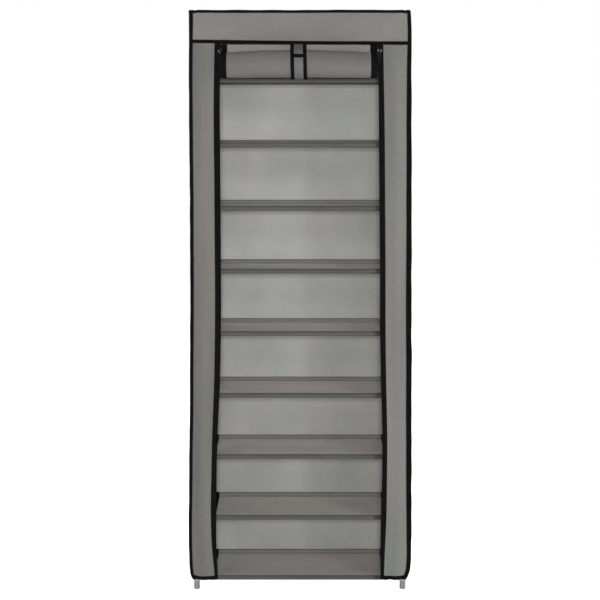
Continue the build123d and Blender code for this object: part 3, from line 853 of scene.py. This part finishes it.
# How far each shelf's cloth has slipped along its rails, in millimetres, from the lowest.
SHELF_SHIFT = (-1.6, 1.4, 0.8, 0.3, -0.6, 0.7, -0.5, 0.5, -0.7, 0.2)

# The rows of points across a shelf: each end's hem and turn round the rail, and the sheet between them.
HEM_ROWS, TURN_ROWS, WEB_ROWS = 3, 26, 38
WEB_START = HEM_ROWS + TURN_ROWS
WEB_END = WEB_START + WEB_ROWS
# Behind the top of the front rail, the sleeve takes the sheet's pale tone: painted light where it lies in
# shade.
PAINTED_LIGHT_TURN = slice(16, WEB_START - 1)

def shelf_profile(z, sag):
    """A shelf's side view: hem, sleeve round the front rail, sagging sheet, sleeve round the rear rail.
    Each point is marked 1 on the front sleeve, 2 on the rear one and 0 on the sheet between them."""
    r = sleeve_r - 0.1 * MM
    leave = math.radians(-38)
    turn = np.linspace(math.radians(-95), math.radians(-360) + leave, TURN_ROWS)
    front = np.stack((front_y + r * np.cos(turn), z + r * np.sin(turn)), 1)
    rear = np.stack((rear_y - r * np.cos(turn[::-1]), z + r * np.sin(turn[::-1])), 1)
    t = np.linspace(0, 1, WEB_ROWS + 2)[1:-1]
    y = front[-1, 0] + (rear[0, 0] - front[-1, 0]) * t
    dip = ramp(t, 0, 0.05) * ramp(t, 1, 0.95)
    web = np.stack((y, z + r * math.sin(leave) - (0.3 * MM * dip + sag * np.sin(math.pi * t) ** 1.2)), 1)
    step = np.arange(HEM_ROWS)
    hem_low = z - r - 0.7 * MM + 0.2 * MM * step
    hem_front = np.stack((front_y + 13 * MM - 4 * MM * step, hem_low), 1)
    hem_rear = np.stack((rear_y - 13 * MM + 4 * MM * step, hem_low), 1)
    profile = np.vstack((hem_front, front, web, rear, hem_rear[::-1]))
    wrapped = np.concatenate((np.full(WEB_START, 1), np.zeros(WEB_ROWS), np.full(WEB_START, 2)))
    return profile, wrapped


def make_shelf(tier):
    """A shelf's cloth, its two bound edges and its two rows of stitches. The last but one is the tautest."""
    name = f"shelf_{tier + 1:02d}"
    slack = 0.25 if tier == TIERS - 2 else 1.0
    profile, wrapped = shelf_profile(rail_z[tier], 1.4 * MM * slack)
    shift = SHELF_SHIFT[tier] * MM
    x = np.linspace(-shelf_half + 2 * MM, shelf_half - 2 * MM, 90)[None, :] + shift
    free = (wrapped == 0)[:, None]
    y, z = profile[:, :1], profile[:, 1:]
    ripple = waves(x, y, 100 + tier, 0.14, 0.35) + 0.5 * waves(x, y, 130 + tier, 0.05, 0.6)
    sag = free * np.sin(math.pi * np.clip((y - front_y) / (rear_y - front_y), 0, 1))
    points = stack(x, y, z - sag * slack * (0.9 + 0.8 * ripple) * MM)
    piece = cloth(f"{name}_cloth", points, SHELF, CABINET, 0.5 * MM, [name])
    piece.data.materials.append(SLEEVE)
    piece.data.materials.append(REAR_SLEEVE)
    # Each row of faces takes one tone of the one cloth: the sheet's painted light, the front sleeve's painted
    # shade, and the rear sleeve's darker tone. The row where the sheet meets the rear sleeve also takes the
    # rear sleeve's tone, a painted shade.
    sleeve = np.minimum(wrapped[:-1], wrapped[1:])
    sleeve[PAINTED_LIGHT_TURN] = 0
    sleeve[WEB_END - 1] = 2
    sleeve = np.repeat(sleeve, points.shape[1] - 1).astype(np.int32)
    piece.data.polygons.foreach_set("material_index", sleeve)
    for side in (-1, 1):
        edge = side * (shelf_half - 9 * MM) + shift
        path = stack(edge, profile[HEM_ROWS:-HEM_ROWS, 0], profile[HEM_ROWS:-HEM_ROWS, 1])
        label = f"{name}_{SIDE_NAME[side]}_binding"
        bound_edge(label, path, side, 9.2 * MM, 1.7 * MM, CABINET)
    web_y, web_z = profile[WEB_START:WEB_END].T
    line = np.linspace(-shelf_half + 12 * MM, shelf_half - 12 * MM, 120)
    for end, place in (("front", front_y + 11.5 * MM), ("rear", rear_y - 11.5 * MM)):
        seam = stack(line + shift, place, np.interp(place, web_y, web_z) + 0.35 * MM)
        label = f"{name}_{end}_stitches"
        beads(label, seam, ALONG_Y, SHELF_STITCH, THREAD, CABINET)


# ---------------------------------------------------------------- feet


# A foot's rings from the floor up: height and radius, in millimetres.
FOOT_RINGS = ((0.0, 6.2), (0.5, 7.6), (1.6, 8.4), (4.0, 8.6), (5.0, 8.3), (27.0, 8.1), (28.5, 8.5),
              (29.5, 8.2))


def make_feet():
    """A tall plastic cap on each leg, with a rolled rim and a rounded sole."""
    turn = np.linspace(0, 2 * math.pi, 40, endpoint=False)
    circle = np.stack((np.cos(turn), np.sin(turn)), 1)
    height = np.array([ring[0] for ring in FOOT_RINGS]) * MM
    section = np.array([circle * radius * MM for _, radius in FOOT_RINGS])
    for end in ("front", "rear"):
        for side in (-1, 1):
            post = middle(f"{end}_{SIDE_NAME[side]}_post")
            path = stack(post.x, post.y, height)
            node = ["feet"] if side < 0 and end == "front" else []
            sweep(f"{end}_{SIDE_NAME[side]}_foot", path, ALONG_X, ALONG_Y, section, FOOT, CABINET,
                  node)


# ---------------------------------------------------------------- CAD nodes that stay


def dress_cad_nodes():
    """Better materials for the tubes, joints and zip hardware."""
    looks = {"post": TUBE, "rails": TUBE, "corner": PLASTIC, "slider": SLIDER, "pull": PULL}
    for name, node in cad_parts.items():
        for word, material in looks.items():
            if word in name:
                node.data.materials.clear()
                node.data.materials.append(material)


# ---------------------------------------------------------------- stage, lights, camera


def make_stage():
    """A pale floor that gives off some light, so that it stays white."""
    mesh = bpy.data.meshes.new("floor")
    reach = 12.0
    corners = [(-reach, -reach, 0), (reach, -reach, 0), (reach, reach, 0), (-reach, reach, 0)]
    mesh.from_pydata(corners, [], [(0, 1, 2, 3)])
    floor = bpy.data.objects.new("floor", mesh)
    bpy.context.scene.collection.objects.link(floor)
    n = Nodes("pale_floor")
    mesh.materials.append(n.finish((0.90, 0.90, 0.90, 1), 0.9, Specular_IOR_Level=0.1))
    n.set(n.shader, "Emission Color", (1, 1, 1, 1))
    n.set(n.shader, "Emission Strength", 0.68)


def area_light(name, place, target, power, size_x, size_y, spread=180):
    """A rectangular light, in watts, turned to a target. A spread under 180 degrees narrows its beam and
    makes the middle of it much brighter."""
    data = bpy.data.lights.new(name, "AREA")
    data.shape = "RECTANGLE"
    data.size, data.size_y = size_x, size_y
    data.energy = power
    data.spread = math.radians(spread)
    light = bpy.data.objects.new(name, data)
    bpy.context.scene.collection.objects.link(light)
    light.location = place
    direction = np.array(target) - np.array(place)
    light.rotation_euler = Vector(direction).to_track_quat("-Z", "Y").to_euler()


def make_world(ambient):
    """White behind the object, and a softer even light from all round."""
    world = bpy.data.worlds.new("studio")
    world.use_nodes = True
    tree = world.node_tree
    light = tree.nodes["Background"]
    light.inputs["Color"].default_value = (1, 1, 1, 1)
    light.inputs["Strength"].default_value = ambient
    backdrop = tree.nodes.new("ShaderNodeBackground")
    backdrop.inputs["Color"].default_value = (1, 1, 1, 1)
    seen = tree.nodes.new("ShaderNodeLightPath")
    mix = tree.nodes.new("ShaderNodeMixShader")
    tree.links.new(seen.outputs["Is Camera Ray"], mix.inputs[0])
    tree.links.new(light.outputs[0], mix.inputs[1])
    tree.links.new(backdrop.outputs[0], mix.inputs[2])
    tree.links.new(mix.outputs[0], tree.nodes["World Output"].inputs["Surface"])
    bpy.context.scene.world = world


def make_lights():
    """A small light close behind the camera, with softer ones round the object."""
    make_world(0.36)
    bpy.context.scene.view_settings.view_transform = "Standard"
    area_light("front", (0.02, -4.85, 1.43), (0, 0, 0.95), 168, 0.4, 0.4)
    area_light("key", (2.4, -3.7, 1.8), (0, 0, 0.95), 30, 0.8, 2.2)
    area_light("top", (0.1, -4.3, 2.6), (0, 0, 1.5), 5.2, 0.9, 0.8, 60)
    area_light("rear", (-1.6, 4.6, 2.0), (0, 0, 0.9), 110, 2.2, 2.0)
    area_light("overhead", (0, 0.1, 4.6), (0, 0.04, 1.6), 0.9, 1.2, 0.8, 24)
    for side in (-1, 1):
        area_light(f"{SIDE_NAME[side]}_side", (side * 4.6, 0.5, 1.7), (0, 0.1, 0.9), 75, 1.6, 2.0)


def make_camera():
    """A long lens in front of the middle, above half height, tilted slightly down."""
    data = bpy.data.cameras.new("camera")
    data.sensor_width = 36.0
    data.lens = 99.88
    data.clip_end = 100
    camera = bpy.data.objects.new("camera", data)
    bpy.context.scene.collection.objects.link(camera)
    camera.location = (0.0008, front_y - 4.5396, 1.3517)
    camera.rotation_euler = (math.radians(90 - 6.75), 0, 0)
    bpy.context.scene.camera = camera


make_camera()
make_lights()
make_stage()
for flap_side in (-1, 1):
    make_flap(flap_side)
    make_wall(flap_side)
    make_zip_tape(flap_side)
    make_flap_hem(flap_side)
make_valance()
make_back()
make_top()
make_corner_bindings()
make_front_and_back_bindings()
make_door()
make_straps()
for shelf_tier in range(TIERS):
    make_shelf(shelf_tier)
make_feet()
dress_cad_nodes()
